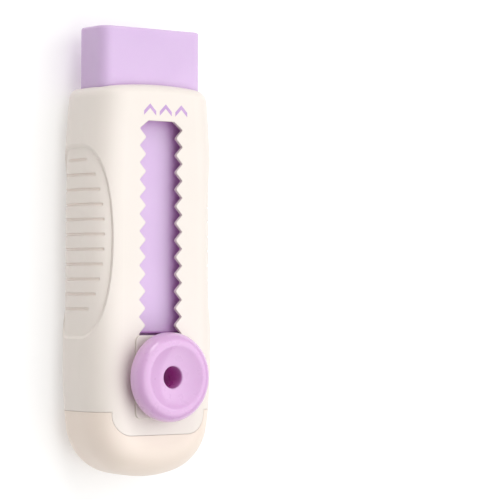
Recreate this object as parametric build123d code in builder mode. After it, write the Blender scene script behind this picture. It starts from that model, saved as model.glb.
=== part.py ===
from build123d import *
import os
from math import sqrt

# A hand-held block eraser in a push-slide holder, lying on its back.
# X runs across the holder, Y along it with the eraser tip at +Y, and Z up out of its front face.
# The origin is on the back face, below the middle of the bounding box. Millimetres throughout.

# Outer form of the holder
HALF_LENGTH = 46.2       # from the origin to the cap end, and to the eraser tip
HALF_WIDTH = 15.8
THICKNESS = 17.0
EDGE_RADIUS = 6.5        # rounding of the long edges
END_RADIUS = 26.0        # shallow arc of the cap end, in plan
CORNER_RADIUS = 11.0     # corners of the cap end, in plan
CAP_TAPER_START = -23.0  # the sides draw in from here to the cap end
CAP_TAPER_RADIUS = 90.0
TAPER_START = 7.3        # the sides draw in from here to the mouth
TAPER_RADIUS = 235.0
MOUTH_Y = 34.5           # crest of the arched mouth
MOUTH_RADIUS = 90.0
MOUTH_RIM = 2.2          # rounding of the mouth's outer rim
FORM_END = 38.0          # the raw form runs past the mouth and is cut back

# Eraser and the hollow that holds it
ERASER_WIDTH = 25.1
ERASER_THICKNESS = 9.8
ERASER_LENGTH = 62.8
ERASER_FLOOR = 4.2       # height of the eraser's back face
ERASER_EDGE = 2.5        # rounding of its long edges
ERASER_END_EDGE = 0.5
SLIDE_GAP = 0.25         # clearance round the eraser in its channel
CHANNEL_EDGE = 2.2       # rounding of the channel's long edges
ARM_GROOVE = 13.7        # half-width over the side grooves for the carriage arms
ARM_GROOVE_LOW = 7.0
ARM_GROOVE_HIGH = 11.0
ARM_GROOVE_END = 30.0

# Toothed slot in the front
SKIN = 0.8               # front wall over the undercut
UNDERCUT = 8.5           # half-width of the space below that wall
UNDERCUT_END = 28.0
PITCH = 3.5
NOTCHES = 17
SLOT_ROOT = 3.7          # half-width between the notches
SLOT_TIP = 5.35          # half-width over the notches
SLOT_TOP = 26.9
SLOT_TOP_FLAT = 3.2      # half-width of the slot's top end
SLOT_BOTTOM = -33.2
FIRST_NOTCH = 25.25
POINT_ROUND = 0.45       # rounding of the points between the notches
NOTCH_ROUND = 0.25       # rounding in the notches

# Leaf-shaped grips on the two sides
GRIP_Y = 2.35
GRIP_X = 17.55           # middle of the leaf's ellipse, just outside the holder
GRIP_HALF_WIDTH = 6.1
GRIP_HALF_LENGTH = 21.0
GRIP_DEPTH = 0.5
RIBS = 11
RIBS_Y = 3.5             # middle of the row of grooves
RIB_PITCH = 3.035
RIB_WIDTH = 0.5
RIB_DEPTH = 0.2
RIB_REACH = 12.75        # half-width between the inner ends of the middle grooves
RIB_ARC = 57.0           # the inner ends of the grooves lie along this arc

# Seam between body and end cap
SEAM_Y = -32.5
SEAM_GAP = 0.04
LOBE_HALF_WIDTH = 11.4   # the body's front runs on over the cap here
LOBE_END = -37.4
LOBE_RADIUS = 4.4
LOBE_FLOOR = 15.2
CAP_WALL = 2.4
CAP_CAVITY_LOW = 3.0
CAP_CAVITY_HIGH = 14.2
FILLER_LOW = 14.5        # the cap's filler under the body's front
FILLER_END = -38.0

# The cap's tongues, one on each side and one on the back
TONGUE_ROOT = -34.0
TONGUE_END = -28.0       # they reach this far into the body
TONGUE_NEAR = 13.3
TONGUE_FAR = 14.3
TONGUE_LOW = 6.0
TONGUE_HIGH = 11.0
SNAP_FAR = 14.6          # a raised bar on each side tongue
SNAP_START = -30.4
SNAP_END = -29.4
SNAP_INSET = 1.0         # the bar is this much narrower than its tongue at each edge
BACK_TONGUE = 6.0
BACK_TONGUE_LOW = 1.6
BACK_TONGUE_HIGH = 2.8
FIT_GAP = 0.1

# Slider: carriage, saddle, lock and knob share one axis
KNOB_Y = FIRST_NOTCH - 14.5 * PITCH
CARRIAGE_HALF_WIDTH = 12.45
CARRIAGE_BACK = -34.2
DECK = 13.9              # top face of the carriage
TAIL_GAP = 0.05          # between the carriage and the eraser's tail
CORE_NEAR = 4.9          # pockets in the carriage's back, as lightening
CORE_FAR = 10.4
CORE_TOP = 12.2
CORE_SPANS = ((-33.0, -27.2), (-23.8, -18.2))
RELIEF = 5.3             # step in the carriage's front edge, seen through the slot
RELIEF_START = -17.5
RELIEF_LOW = 11.0
RAIL_NEAR = 5.6
RAIL_FAR = 8.3
RAIL_START = -32.2
RAIL_END = -17.6
RAIL_TOP = 15.9
ARM_NEAR = 12.6
ARM_FAR = 13.6
ARM_LOW = 7.2
ARM_HIGH = 10.8
ARM_ROOT = -19.2
ARM_END = -12.5
SADDLE_HALF_WIDTH = 6.2
SADDLE_HALF_LENGTH = 8.5
SADDLE_CORNER = 1.2
SADDLE_EDGE = 0.2
SADDLE_LOW = THICKNESS + 0.05
SADDLE_HIGH = 17.4
LEG_NEAR = 4.2           # the saddle's legs, from the knob's axis
LEG_FAR = 6.8
LEG_HALF_WIDTH = 3.3
PIN_RADIUS = 1.1
PIN_END = 11.0
WELL_RADIUS = 3.7
WELL_FLOOR = 6.8

KEY_LOW = 16.05
KEY_HIGH = 16.95
KEY_ROOT = 3.45
KEY_TIP = 5.15
KEY_HALF_LENGTH = 3.4
KEY_TOOTH = 1.6          # half the width of a tooth at its root
HUB_RADIUS = 3.4
HUB_END = 13.0
SOCKET_FLOOR = 14.2

SPRING_RADIUS = 2.45     # to the middle of the wire
SPRING_WIRE = 0.25       # wire radius
SPRING_TURNS = 4.5

KNOB_RADIUS = 9.15
KNOB_LOW = 19.15
KNOB_HIGH = 23.0
KNOB_CREST = 6.75        # radius of the highest ring
CREST_WIDTH = 0.4        # the crest rolls over into the dish within this
CREST_DROP = 0.1
KNOB_LIP = 0.7           # rounding of the lower edge
BOSS_RADIUS = 2.9
BOSS_GAP = 0.2           # clearance round the boss where it passes the saddle
HOLE_RADIUS = 2.25
HOLE_EDGE = 0.3          # rounding of the hole's rim
DISH_FLOOR = 21.6        # height where the dish meets the hole

channel_half_width = ERASER_WIDTH / 2 + SLIDE_GAP
channel_low = ERASER_FLOOR - SLIDE_GAP
channel_high = ERASER_FLOOR + ERASER_THICKNESS + SLIDE_GAP
eraser_back = HALF_LENGTH - ERASER_LENGTH
carriage_front = eraser_back - TAIL_GAP
undercut_roof = THICKNESS - SKIN
leg_middle = (LEG_NEAR + LEG_FAR) / 2
BEYOND = 60.0            # any length that passes the whole object

os.makedirs("parts", exist_ok=True)


def block(low, high, mode=Mode.ADD):
    """A box between two opposite corners, in the part being built."""
    size = Vector(high) - Vector(low)
    with Locations(low):
        Box(size.X, size.Y, size.Z, align=(Align.MIN, Align.MIN, Align.MIN), mode=mode)


def pair(low, high, mode=Mode.ADD):
    """The same box on both sides of the holder's middle plane."""
    block(low, high, mode)
    block((-high[0], low[1], low[2]), (-low[0], high[1], high[2]), mode)


def plan_outline(inset):
    """Half of the holder's outline in plan, drawn inside it by inset, in the line being built."""
    end_centre = Vector(0, END_RADIUS - HALF_LENGTH)
    side_centre = Vector(HALF_WIDTH - CAP_TAPER_RADIUS, CAP_TAPER_START)
    # the corner's centre, from its distances to the centres of the two arcs that it joins
    from_side = CAP_TAPER_RADIUS - CORNER_RADIUS
    from_end = END_RADIUS - CORNER_RADIUS
    between = end_centre - side_centre
    along = (between.length ** 2 + from_side ** 2 - from_end ** 2) / (2 * between.length)
    across = sqrt(from_side ** 2 - along ** 2)
    towards = between.normalized()
    corner_centre = side_centre + towards * along + Vector(towards.Y, -towards.X) * across
    end_meet = end_centre + (corner_centre - end_centre).normalized() * (END_RADIUS - inset)
    side_meet = side_centre + (corner_centre - side_centre).normalized() * (CAP_TAPER_RADIUS - inset)
    side_x = HALF_WIDTH - inset
    run = FORM_END - TAPER_START
    mouth_x = HALF_WIDTH - TAPER_RADIUS + sqrt((TAPER_RADIUS - inset) ** 2 - run ** 2)
    end = TangentArc((0, inset - HALF_LENGTH), end_meet, tangent=(1, 0))
    corner = TangentArc(end @ 1, side_meet, tangent=end % 1)
    TangentArc(corner @ 1, (side_x, CAP_TAPER_START), tangent=corner % 1)
    Line((side_x, CAP_TAPER_START), (side_x, TAPER_START))
    TangentArc((side_x, TAPER_START), (mouth_x, FORM_END), tangent=(0, 1))
    Line((mouth_x, FORM_END), (0, FORM_END))
    mirror(about=Plane.YZ)


def holder_form(inset):
    """The holder's outer form, shrunk by inset all round."""
    with BuildPart() as form:
        with BuildSketch(Plane.XY.offset(inset)):
            with BuildLine():
                plan_outline(inset)
            make_face()
        extrude(amount=THICKNESS - 2 * inset)
        level = form.edges().filter_by(lambda edge: edge.bounding_box().size.Z < 0.001)
        long_edges = level.filter_by(lambda edge: edge.bounding_box().min.Y < FORM_END - 0.001)
        fillet(long_edges, EDGE_RADIUS - inset)
    return form.part


def below_seam(gap):
    """The space on the cap's side of the seam, standing back from it by gap."""
    with BuildPart() as zone:
        block((-BEYOND, -BEYOND, -1), (BEYOND, SEAM_Y - gap, LOBE_FLOOR - gap))
        with BuildSketch(Plane.XY.offset(LOBE_FLOOR - gap)):
            with Locations((0, SEAM_Y - gap)):
                Rectangle(2 * BEYOND, BEYOND, align=(Align.CENTER, Align.MAX))
            with Locations((0, LOBE_END - gap)):
                RectangleRounded(2 * (LOBE_HALF_WIDTH + gap), 30, LOBE_RADIUS + gap,
                                 align=(Align.CENTER, Align.MIN), mode=Mode.SUBTRACT)
        extrude(amount=THICKNESS)
    return zone.part


outer_form = holder_form(0)
grip_form = holder_form(GRIP_DEPTH)
rib_form = holder_form(GRIP_DEPTH + RIB_DEPTH)
cap_side = below_seam(0)
cap_side_back = below_seam(SEAM_GAP)

# Everything outside the grips' recessed surface, within the two leaf outlines
with BuildPart() as grip_pockets:
    with BuildSketch():
        with Locations((GRIP_X, GRIP_Y), (-GRIP_X, GRIP_Y)):
            Ellipse(GRIP_HALF_WIDTH, GRIP_HALF_LENGTH)
    extrude(amount=THICKNESS)
    add(grip_form, mode=Mode.SUBTRACT)

# The fine grooves across the grips
with BuildPart() as rib_grooves:
    for rib in range(RIBS):
        offset_y = (rib - (RIBS - 1) / 2) * RIB_PITCH
        reach = RIB_REACH + RIB_ARC - sqrt(RIB_ARC ** 2 - offset_y ** 2)
        rib_y = RIBS_Y + offset_y
        pair((reach, rib_y - RIB_WIDTH / 2, 0), (HALF_WIDTH + 1, rib_y + RIB_WIDTH / 2, THICKNESS))
    add(rib_form, mode=Mode.SUBTRACT)

# The hollow that the eraser and the slider run in: channel, arm grooves and the undercut in front
with BuildPart() as hollow:
    block((-channel_half_width, -BEYOND, channel_low), (channel_half_width, BEYOND, channel_high))
    fillet(hollow.edges().filter_by(Axis.Y), CHANNEL_EDGE)
    block((-ARM_GROOVE, -BEYOND, ARM_GROOVE_LOW), (ARM_GROOVE, ARM_GROOVE_END, ARM_GROOVE_HIGH))
    block((-UNDERCUT, -BEYOND, channel_high - 1), (UNDERCUT, UNDERCUT_END, undercut_roof))

# Body: one moulding with the eraser's channel, the toothed slot and the side grips
with BuildPart() as body_shell:
    add(outer_form)
    with Locations((0, MOUTH_Y - MOUTH_RADIUS, THICKNESS / 2)):
        Cylinder(MOUTH_RADIUS, 2 * THICKNESS, mode=Mode.INTERSECT)
    mouth_face = body_shell.faces().sort_by(Axis.Y)[-1]
    fillet(mouth_face.edges(), MOUTH_RIM)
    add(cap_side, mode=Mode.SUBTRACT)
    add(grip_pockets.part, mode=Mode.SUBTRACT)
    add(rib_grooves.part, mode=Mode.SUBTRACT)
    add(hollow.part, mode=Mode.SUBTRACT)
    with BuildSketch(Plane.XY.offset(undercut_roof - 1)) as slot:
        with BuildLine():
            edge = [(0, SLOT_BOTTOM), (SLOT_ROOT, SLOT_BOTTOM)]
            for notch in reversed(range(NOTCHES)):
                notch_y = FIRST_NOTCH - notch * PITCH
                edge += [(SLOT_ROOT, notch_y - PITCH / 2), (SLOT_TIP, notch_y)]
            edge += [(SLOT_TOP_FLAT, SLOT_TOP), (0, SLOT_TOP)]
            Polyline(*edge)
            mirror(about=Plane.YZ)
        make_face()
        fillet(slot.vertices().filter_by(lambda corner: abs(corner.X) < SLOT_ROOT + 0.01), POINT_ROUND)
        fillet(slot.vertices().filter_by(lambda corner: abs(corner.X) > SLOT_TIP - 0.01), NOTCH_ROUND)
    extrude(amount=SKIN + 2, mode=Mode.SUBTRACT)
    # pockets for the end cap's three tongues, with a recess for each side tongue's snap
    pocket_end = TONGUE_END + FIT_GAP
    pair((TONGUE_NEAR - FIT_GAP, -BEYOND, TONGUE_LOW - FIT_GAP),
         (TONGUE_FAR, pocket_end, TONGUE_HIGH + FIT_GAP), Mode.SUBTRACT)
    pair((TONGUE_FAR - FIT_GAP, SNAP_START - FIT_GAP, TONGUE_LOW + SNAP_INSET - FIT_GAP),
         (SNAP_FAR + FIT_GAP, SNAP_END + FIT_GAP, TONGUE_HIGH - SNAP_INSET + FIT_GAP), Mode.SUBTRACT)
    block((-BACK_TONGUE - FIT_GAP, -BEYOND, BACK_TONGUE_LOW),
          (BACK_TONGUE + FIT_GAP, pocket_end, BACK_TONGUE_HIGH + FIT_GAP), Mode.SUBTRACT)
body_shell.part.label = "body_shell"
export_step(body_shell.part, "parts/body_shell.step")

# End cap: closes the lower end, and snaps into the body with three tongues
with BuildPart() as end_cap:
    add(outer_form)
    add(cap_side_back, mode=Mode.INTERSECT)
    with BuildSketch(Plane.XY.offset(CAP_CAVITY_LOW)):
        with BuildLine():
            plan_outline(CAP_WALL)
        make_face()
    extrude(amount=CAP_CAVITY_HIGH - CAP_CAVITY_LOW, mode=Mode.SUBTRACT)
    block((-UNDERCUT + FIT_GAP, FILLER_END, FILLER_LOW),
          (UNDERCUT - FIT_GAP, CARRIAGE_BACK - FIT_GAP, undercut_roof - FIT_GAP))
    pair((TONGUE_NEAR, TONGUE_ROOT, TONGUE_LOW), (TONGUE_FAR, TONGUE_END, TONGUE_HIGH))
    pair((TONGUE_FAR, SNAP_START, TONGUE_LOW + SNAP_INSET), (SNAP_FAR, SNAP_END, TONGUE_HIGH - SNAP_INSET))
    block((-BACK_TONGUE, TONGUE_ROOT, BACK_TONGUE_LOW), (BACK_TONGUE, TONGUE_END, BACK_TONGUE_HIGH))
end_cap.part.label = "end_cap"
export_step(end_cap.part, "parts/end_cap.step")

# Eraser refill: a plain block, held at its tail by the carriage
with BuildPart() as eraser_block:
    block((-ERASER_WIDTH / 2, eraser_back, ERASER_FLOOR),
          (ERASER_WIDTH / 2, HALF_LENGTH, ERASER_FLOOR + ERASER_THICKNESS))
    fillet(eraser_block.edges().filter_by(Axis.Y), ERASER_EDGE)
    ends = eraser_block.faces().filter_by(Plane.XZ)
    fillet(ends.edges(), ERASER_END_EDGE)
eraser_block.part.label = "eraser_block"
export_step(eraser_block.part, "parts/eraser_block.step")

# Carriage: runs in the channel behind the eraser, with two arms that hold the eraser's tail
with BuildPart() as carriage:
    block((-CARRIAGE_HALF_WIDTH, CARRIAGE_BACK, ERASER_FLOOR), (CARRIAGE_HALF_WIDTH, carriage_front, DECK))
    fillet(carriage.edges().filter_by(Axis.Y), ERASER_EDGE)
    for low_y, high_y in CORE_SPANS:
        pair((CORE_NEAR, low_y, ERASER_FLOOR), (CORE_FAR, high_y, CORE_TOP), Mode.SUBTRACT)
    with Locations((0, KNOB_Y, WELL_FLOOR)):
        Cylinder(WELL_RADIUS, BEYOND, align=(Align.CENTER, Align.CENTER, Align.MIN), mode=Mode.SUBTRACT)
    block((-RELIEF, RELIEF_START, RELIEF_LOW), (RELIEF, carriage_front, DECK), Mode.SUBTRACT)
    pair((RAIL_NEAR, RAIL_START, DECK - 0.5), (RAIL_FAR, RAIL_END, RAIL_TOP))
    pair((CORE_FAR, ARM_ROOT, ARM_LOW), (ARM_FAR, carriage_front, ARM_HIGH))
    pair((ARM_NEAR, ARM_ROOT, ARM_LOW), (ARM_FAR, ARM_END, ARM_HIGH))
    with Locations((0, KNOB_Y - leg_middle, PIN_END - FIT_GAP), (0, KNOB_Y + leg_middle, PIN_END - FIT_GAP)):
        Cylinder(PIN_RADIUS, BEYOND, align=(Align.CENTER, Align.CENTER, Align.MIN), mode=Mode.SUBTRACT)
carriage.part.label = "carriage"
export_step(carriage.part, "parts/carriage.step")

# Guide saddle: slides on the front face, its two legs pinned to the carriage through the slot
with BuildPart() as guide_saddle:
    with BuildSketch(Plane.XY.offset(SADDLE_LOW)):
        with Locations((0, KNOB_Y)):
            RectangleRounded(2 * SADDLE_HALF_WIDTH, 2 * SADDLE_HALF_LENGTH, SADDLE_CORNER)
    extrude(amount=SADDLE_HIGH - SADDLE_LOW)
    fillet(guide_saddle.faces().sort_by(Axis.Z)[-1].edges(), SADDLE_EDGE)
    for middle in (KNOB_Y - leg_middle, KNOB_Y + leg_middle):
        half = (LEG_FAR - LEG_NEAR) / 2
        block((-LEG_HALF_WIDTH, middle - half, DECK), (LEG_HALF_WIDTH, middle + half, SADDLE_LOW))
        with Locations((0, middle, PIN_END)):
            Cylinder(PIN_RADIUS, DECK - PIN_END, align=(Align.CENTER, Align.CENTER, Align.MIN))
    with Locations((0, KNOB_Y, SADDLE_LOW)):
        Cylinder(BOSS_RADIUS + BOSS_GAP, BEYOND, mode=Mode.SUBTRACT)
guide_saddle.part.label = "guide_saddle"
export_step(guide_saddle.part, "parts/guide_saddle.step")

# Lock key: a toothed plate that fills two notches a side, on a hub that the spring lifts
with BuildPart() as lock_key:
    with BuildSketch(Plane.XY.offset(KEY_LOW)):
        with Locations((0, KNOB_Y)):
            Rectangle(2 * KEY_ROOT, 2 * KEY_HALF_LENGTH)
        for tooth_y in (KNOB_Y - PITCH / 2, KNOB_Y + PITCH / 2):
            with BuildLine():
                Polyline((0, tooth_y - KEY_TOOTH), (KEY_ROOT, tooth_y - KEY_TOOTH), (KEY_TIP, tooth_y),
                         (KEY_ROOT, tooth_y + KEY_TOOTH), (0, tooth_y + KEY_TOOTH))
                mirror(about=Plane.YZ)
            make_face()
    extrude(amount=KEY_HIGH - KEY_LOW)
    with Locations((0, KNOB_Y, HUB_END)):
        Cylinder(HUB_RADIUS, KEY_HIGH - HUB_END, align=(Align.CENTER, Align.CENTER, Align.MIN))
    with Locations((0, KNOB_Y, SOCKET_FLOOR)):
        Cylinder(BOSS_RADIUS, BEYOND, align=(Align.CENTER, Align.CENTER, Align.MIN), mode=Mode.SUBTRACT)
lock_key.part.label = "lock_key"
export_step(lock_key.part, "parts/lock_key.step")

# Lock spring: a steel coil in the carriage's well, under the key's hub
spring_height = HUB_END - WELL_FLOOR - 2 * SPRING_WIRE
with BuildPart() as lock_spring:
    with BuildLine(Plane.XY.offset(WELL_FLOOR + SPRING_WIRE).move(Location((0, KNOB_Y, 0)))) as coil:
        Helix(pitch=spring_height / SPRING_TURNS, height=spring_height, radius=SPRING_RADIUS)
    with BuildSketch(Plane(origin=coil.line @ 0, z_dir=coil.line % 0)):
        Circle(SPRING_WIRE)
    sweep(path=coil.line, is_frenet=True)
lock_spring.part.label = "lock_spring"
export_step(lock_spring.part, "parts/lock_spring.step")

# Thumb knob: a dished round button on a hollow boss that is pressed into the key's socket
with BuildPart() as thumb_knob:
    with BuildSketch(Plane.XZ.offset(-KNOB_Y)):
        with BuildLine():
            Line((HOLE_RADIUS, SOCKET_FLOOR), (BOSS_RADIUS, SOCKET_FLOOR))
            Line((BOSS_RADIUS, SOCKET_FLOOR), (BOSS_RADIUS, KNOB_LOW))
            Line((BOSS_RADIUS, KNOB_LOW), (KNOB_RADIUS - KNOB_LIP, KNOB_LOW))
            lip_end = (KNOB_RADIUS, KNOB_LOW + KNOB_LIP)
            lip = TangentArc((KNOB_RADIUS - KNOB_LIP, KNOB_LOW), lip_end, tangent=(1, 0))
            shoulder_y = KNOB_HIGH - (KNOB_RADIUS - KNOB_CREST)
            Line(lip @ 1, (KNOB_RADIUS, shoulder_y))
            shoulder = TangentArc((KNOB_RADIUS, shoulder_y), (KNOB_CREST, KNOB_HIGH), tangent=(0, 1))
            dish_end = (HOLE_RADIUS + HOLE_EDGE, DISH_FLOOR)
            crest_end = (KNOB_CREST - CREST_WIDTH, KNOB_HIGH - CREST_DROP)
            crest = TangentArc(shoulder @ 1, crest_end, tangent=(-1, 0))
            TangentArc(crest @ 1, dish_end, tangent=crest % 1)
            rim = TangentArc(dish_end, (HOLE_RADIUS, DISH_FLOOR - HOLE_EDGE), tangent=(-1, 0))
            Line(rim @ 1, (HOLE_RADIUS, SOCKET_FLOOR))
        make_face()
    revolve(axis=Axis((0, KNOB_Y, 0), (0, 0, 1)))
thumb_knob.part.label = "thumb_knob"
export_step(thumb_knob.part, "parts/thumb_knob.step")
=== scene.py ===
import math

import bpy
from mathutils import Matrix, Vector


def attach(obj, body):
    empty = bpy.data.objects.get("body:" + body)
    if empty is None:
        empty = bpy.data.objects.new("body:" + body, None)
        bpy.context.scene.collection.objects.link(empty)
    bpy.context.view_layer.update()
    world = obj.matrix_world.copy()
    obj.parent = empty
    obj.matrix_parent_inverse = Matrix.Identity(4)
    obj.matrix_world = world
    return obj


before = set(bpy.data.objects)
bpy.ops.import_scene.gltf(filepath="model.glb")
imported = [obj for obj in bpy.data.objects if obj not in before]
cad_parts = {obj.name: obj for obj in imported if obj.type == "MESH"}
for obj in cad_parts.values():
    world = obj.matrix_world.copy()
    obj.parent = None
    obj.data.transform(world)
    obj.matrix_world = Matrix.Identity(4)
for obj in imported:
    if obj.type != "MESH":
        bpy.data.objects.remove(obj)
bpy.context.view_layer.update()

# The camera stands to the holder's left, above its front face, with the eraser tip at the top of the view.
VIEW_ANGLE = math.radians(36.99)     # round from the front face's normal, towards -X
VIEW_TILT = math.radians(1.09)       # up towards the eraser tip
VIEW_ROLL = math.radians(0.25)
VIEW_DISTANCE = 0.4922
VIEW_ASIDE = 0.02338                 # the view's centre lies this far to the right of the holder's axis
VIEW_CENTRE = Vector((0, -0.0087, 0.0085))
LENS = 170.5
SENSOR = 36.0
LENGTHWAYS = Vector((0, 1, 0))

# Light: a large softbox over the front, a small one towards the eraser tip, and a dim warm surround
KEY_DIRECTION = (0.3, -0.06, 1.0)
KEY_DISTANCE = 1.0
KEY_SIDE = 1.8
KEY_POWER = 16.4
KEY_COLOUR = (0.985, 1.0, 1.01)
TOP_DIRECTION = (-0.2, 1.0, 0.7)
TOP_DISTANCE = 0.8
TOP_SIDE = 0.3
TOP_POWER = 1.5
SURROUND_COLOUR = (1.0, 0.92, 0.84)
SURROUND_STRENGTH = 0.25
WHITE = (1, 1, 1)
FLOOR_HALF = 3.0
FLOOR_GLOW = 0.35                    # the floor is lit from below as well, which keeps its shadows faint

PAINTED_SHADE_REACH = 0.006                 # colour is painted into holes narrower than this, as their shade and bounced light
EDGE_SOFTNESS = 0.00025              # moulded edges are rounded by about this much
FINE_GRAIN = 0.000004                # depth of the plastic's grain
FINER_GRAIN = 0.000003

# A row of chevrons printed on the front, between the slot and the mouth
FRONT_HEIGHT = 0.017
MARK_CENTRE = Vector((0.00105, 0.0292, FRONT_HEIGHT))
MARK_STEP = 0.0039
CHEVRON_HALF_WIDTH = 0.0015
CHEVRON_HALF_HEIGHT = 0.0012
CHEVRON_STROKE = 0.0009
INK_SUNK = 0.00003
INK_PROUD = 0.00002


def linear(red, green, blue):
    """An sRGB colour, 0 to 255, as the linear RGBA that the shader takes."""
    def channel(value):
        share = value / 255
        return share / 12.92 if share <= 0.04045 else ((share + 0.055) / 1.055) ** 2.4
    return (channel(red), channel(green), channel(blue), 1.0)


def add_camera():
    data = bpy.data.cameras.new("camera")
    data.lens = LENS
    data.sensor_width = SENSOR
    data.clip_start = 0.01
    data.clip_end = 20
    camera = bpy.data.objects.new("camera", data)
    bpy.context.scene.collection.objects.link(camera)
    right = Vector((math.cos(VIEW_ANGLE), 0, math.sin(VIEW_ANGLE)))
    level = Vector((math.sin(VIEW_ANGLE), 0, -math.cos(VIEW_ANGLE)))
    location = VIEW_CENTRE + right * VIEW_ASIDE - level * VIEW_DISTANCE
    forward = level * math.cos(VIEW_TILT) + LENGTHWAYS * math.sin(VIEW_TILT)
    up = LENGTHWAYS * math.cos(VIEW_TILT) - level * math.sin(VIEW_TILT)
    rolled_right = right * math.cos(VIEW_ROLL) + up * math.sin(VIEW_ROLL)
    rolled_up = up * math.cos(VIEW_ROLL) - right * math.sin(VIEW_ROLL)
    turn = Matrix((rolled_right, rolled_up, -forward)).transposed().to_4x4()
    camera.matrix_world = Matrix.Translation(location) @ turn
    bpy.context.scene.camera = camera


def add_softbox(name, direction, distance, side, power, colour):
    """A square light that faces the holder from a direction."""
    data = bpy.data.lights.new(name, "AREA")
    data.size = side
    data.energy = power
    data.color = colour
    light = bpy.data.objects.new(name, data)
    bpy.context.scene.collection.objects.link(light)
    away = Vector(direction).normalized()
    light.location = VIEW_CENTRE + away * distance
    light.rotation_mode = "QUATERNION"
    light.rotation_quaternion = (-away).to_track_quat("-Z", "Y")


def add_world(colour, strength):
    world = bpy.data.worlds.new("studio")
    bpy.context.scene.world = world
    world.use_nodes = True
    background = world.node_tree.nodes["Background"]
    background.inputs["Color"].default_value = (*colour, 1)
    background.inputs["Strength"].default_value = strength


class Shader:
    """A Principled material, and short ways to add nodes that vary it over the surface."""

    def __init__(self, name, **settings):
        self.material = bpy.data.materials.new(name)
        self.material.use_nodes = True
        self.tree = self.material.node_tree
        self.principled = self.tree.nodes["Principled BSDF"]
        for socket, value in settings.items():
            self.principled.inputs[socket.replace("_", " ")].default_value = value
        self.place = self.tree.nodes.new("ShaderNodeTexCoord").outputs["Object"]

    def node(self, kind, inputs=(), **properties):
        made = self.tree.nodes.new(kind)
        for key, value in properties.items():
            setattr(made, key, value)
        for key, value in dict(inputs).items():
            if isinstance(value, bpy.types.NodeSocket):
                self.tree.links.new(value, made.inputs[key])
            else:
                made.inputs[key].default_value = value
        return made

    def noise(self, scale, detail=3.0, roughness=0.5):
        inputs = {"Vector": self.place, "Scale": scale, "Detail": detail, "Roughness": roughness}
        return self.node("ShaderNodeTexNoise", inputs).outputs["Fac"]

    def spread(self, factor, low, high):
        """The middle of a noise, 0.3 to 0.7, spread over low to high."""
        inputs = {"Value": factor, "From Min": 0.3, "From Max": 0.7, "To Min": low, "To Max": high}
        return self.node("ShaderNodeMapRange", inputs).outputs["Result"]

    def mix(self, factor, first, second):
        inputs = {"Factor": factor, 6: first, 7: second}
        return self.node("ShaderNodeMix", inputs, data_type="RGBA").outputs[2]

    def openness(self, reach, alone):
        """How open the surface is within reach, 0 deep in a hole to 1; it masks the painted shade. Alone,
        other pieces don't count.
        """
        probe = self.node("ShaderNodeAmbientOcclusion", {"Distance": reach}, samples=12, only_local=alone)
        inputs = {"Value": probe.outputs["AO"], "From Min": 0.1, "From Max": 0.65}
        return self.node("ShaderNodeMapRange", inputs).outputs["Result"]

    def colour(self, value):
        self.tree.links.new(value, self.principled.inputs["Base Color"])

    def roughness(self, value):
        self.tree.links.new(value, self.principled.inputs["Roughness"])

    def bumps(self, edge, *layers):
        """Softens edges to a radius and stacks bumps over them, each a height and its depth in metres."""
        normal = self.node("ShaderNodeBevel", {"Radius": edge}, samples=8).outputs["Normal"]
        for height, depth in layers:
            inputs = {"Height": height, "Distance": depth, "Strength": 1.0, "Normal": normal}
            normal = self.node("ShaderNodeBump", inputs).outputs["Normal"]
        self.tree.links.new(normal, self.principled.inputs["Normal"])


def moulded_plastic(name, pale, deep, painted_hollow_shading, roughness, grain, subsurface, coat):
    """Moulded plastic with a fine even grain, slight flow clouds, handling marks in its gloss, and painted
    shade and bounced light in its hollows.
    """
    shader = Shader(name, IOR=1.47, Subsurface_Weight=subsurface, Subsurface_Scale=0.004,
                    Coat_Weight=coat, Coat_Roughness=0.12)
    shader.principled.inputs["Subsurface Radius"].default_value = (1.0, 0.7, 0.9)
    clouds = shader.spread(shader.noise(45, 4), 0, 1)
    # Painted shade and bounced light: the hollow colour is painted wherever the surface is closed in within
    # the reach
    shader.colour(shader.mix(shader.openness(PAINTED_SHADE_REACH, True), painted_hollow_shading, shader.mix(clouds, pale, deep)))
    marks = shader.noise(420, 5, 0.6)
    shader.roughness(shader.spread(marks, roughness - 0.05, roughness + 0.05))
    shader.bumps(EDGE_SOFTNESS, (shader.noise(9000, 2), grain), (shader.noise(60, 2), grain * 4))
    return shader.material


def eraser_vinyl(name):
    """Soft matt vinyl with fine pores, faint mould flow, a slight sheen, and painted shade where other pieces
    close it in.
    """
    shader = Shader(name, IOR=1.45, Subsurface_Weight=0.25, Subsurface_Scale=0.003, Sheen_Weight=0.15)
    shader.principled.inputs["Subsurface Radius"].default_value = (1.0, 0.7, 1.0)
    clouds = shader.spread(shader.noise(80, 4), 0, 1)
    surface = shader.mix(clouds, linear(216, 190, 227), linear(211, 184, 223))
    # Painted shade: a deeper purple is painted where other pieces close the eraser in, as under the slot's
    # walls
    shader.colour(shader.mix(shader.openness(PAINTED_SHADE_REACH, False), linear(210, 146, 226), surface))
    shader.roughness(shader.spread(shader.noise(900, 4), 0.55, 0.7))
    shader.bumps(EDGE_SOFTNESS, (shader.noise(5200, 3, 0.6), 0.000012), (shader.noise(160, 3), 0.00004))
    return shader.material


def spring_wire(name):
    """Bright drawn steel wire."""
    shader = Shader(name, Metallic=1.0)
    shader.colour(shader.mix(shader.noise(1500), linear(150, 150, 155), linear(190, 190, 195)))
    shader.roughness(shader.spread(shader.noise(3000), 0.25, 0.4))
    return shader.material


def dress(node, material):
    """Gives a CAD node its finished material."""
    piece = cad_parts[node]
    piece.data.materials.clear()
    piece.data.materials.append(material)


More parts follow.
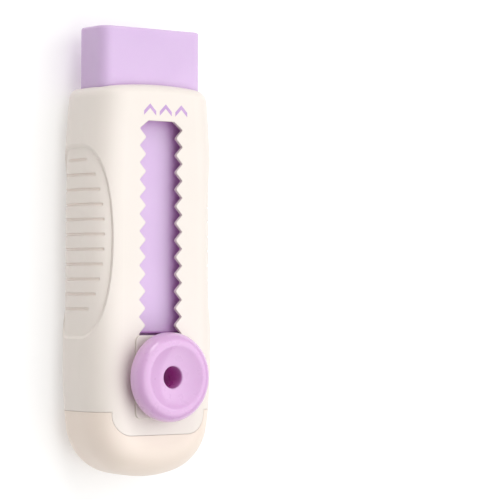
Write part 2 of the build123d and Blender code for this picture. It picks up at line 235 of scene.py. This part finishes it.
def dress_nodes():
    # Each hollow colour is painted shade or bounced light: warm and lighter on cream and beige, deep magenta
    # on lavender
    cream = moulded_plastic(
        "cream_plastic", pale=linear(240, 232, 226), deep=linear(237, 229, 222), painted_hollow_shading=linear(253, 218, 204),
        roughness=0.42, grain=FINE_GRAIN, subsurface=0.05, coat=0.0)
    beige = moulded_plastic(
        "beige_plastic", pale=linear(245, 231, 220), deep=linear(242, 227, 215), painted_hollow_shading=linear(250, 214, 198),
        roughness=0.40, grain=FINE_GRAIN, subsurface=0.05, coat=0.0)
    lavender = moulded_plastic(
        "lavender_plastic", pale=linear(220, 179, 222), deep=linear(214, 171, 217),
        painted_hollow_shading=linear(198, 50, 172),
        roughness=0.3, grain=FINER_GRAIN, subsurface=0.25, coat=0.6)
    vinyl = eraser_vinyl("eraser_vinyl")
    wire = spring_wire("spring_wire")
    for node in ("body_shell", "guide_saddle"):
        dress(node, cream)
    dress("end_cap", beige)
    for node in ("carriage", "lock_key", "thumb_knob"):
        dress(node, lavender)
    dress("eraser_block", vinyl)
    dress("lock_spring", wire)


def add_mark():
    """Three printed chevrons that point along the eraser's way out."""
    shoulder_y = CHEVRON_STROKE - CHEVRON_HALF_HEIGHT
    outline = [(-CHEVRON_HALF_WIDTH, shoulder_y), (0, CHEVRON_HALF_HEIGHT), (CHEVRON_HALF_WIDTH, shoulder_y),
               (CHEVRON_HALF_WIDTH, -CHEVRON_HALF_HEIGHT), (0, -shoulder_y),
               (-CHEVRON_HALF_WIDTH, -CHEVRON_HALF_HEIGHT)]
    points = []
    faces = []
    count = len(outline)
    for step in (-1, 0, 1):
        first = len(points)
        for height in (-INK_SUNK, INK_PROUD):
            points += [MARK_CENTRE + Vector((step * MARK_STEP + x, y, height)) for x, y in outline]
        # each arm of the chevron is one quad, above and below
        for corners in ((0, 5, 4, 1), (1, 4, 3, 2)):
            faces.append([first + count + corner for corner in corners])
            faces.append([first + corner for corner in reversed(corners)])
        for corner in range(count):
            after = (corner + 1) % count
            faces.append([first + after, first + corner, first + count + corner, first + count + after])
    mesh = bpy.data.meshes.new("front_mark")
    mesh.from_pydata(points, [], faces)
    mark = bpy.data.objects.new("front_mark", mesh)
    bpy.context.scene.collection.objects.link(mark)
    ink = Shader("lavender_ink", IOR=1.45)
    ink.colour(ink.mix(ink.spread(ink.noise(700, 4), 0, 1), linear(202, 168, 216), linear(192, 156, 208)))
    ink.roughness(ink.spread(ink.noise(1500, 4), 0.4, 0.55))
    mesh.materials.append(ink.material)
    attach(mark, "holder")


def add_floor():
    mesh = bpy.data.meshes.new("floor")
    corners = [(FLOOR_HALF * x, FLOOR_HALF * y, 0) for x, y in ((-1, -1), (1, -1), (1, 1), (-1, 1))]
    mesh.from_pydata(corners, [], [(0, 1, 2, 3)])
    floor = bpy.data.objects.new("floor", mesh)
    bpy.context.scene.collection.objects.link(floor)
    shader = Shader("floor", Roughness=0.9, Emission_Strength=FLOOR_GLOW)
    shader.principled.inputs["Emission Color"].default_value = (*WHITE, 1)
    shader.colour(shader.mix(shader.noise(2), linear(216, 216, 216), linear(214, 214, 214)))
    mesh.materials.append(shader.material)


add_camera()
add_world(SURROUND_COLOUR, SURROUND_STRENGTH)
add_softbox("key", KEY_DIRECTION, KEY_DISTANCE, KEY_SIDE, KEY_POWER, KEY_COLOUR)
add_softbox("top", TOP_DIRECTION, TOP_DISTANCE, TOP_SIDE, TOP_POWER, WHITE)
add_floor()
dress_nodes()
add_mark()
bpy.context.scene.view_settings.view_transform = "Standard"
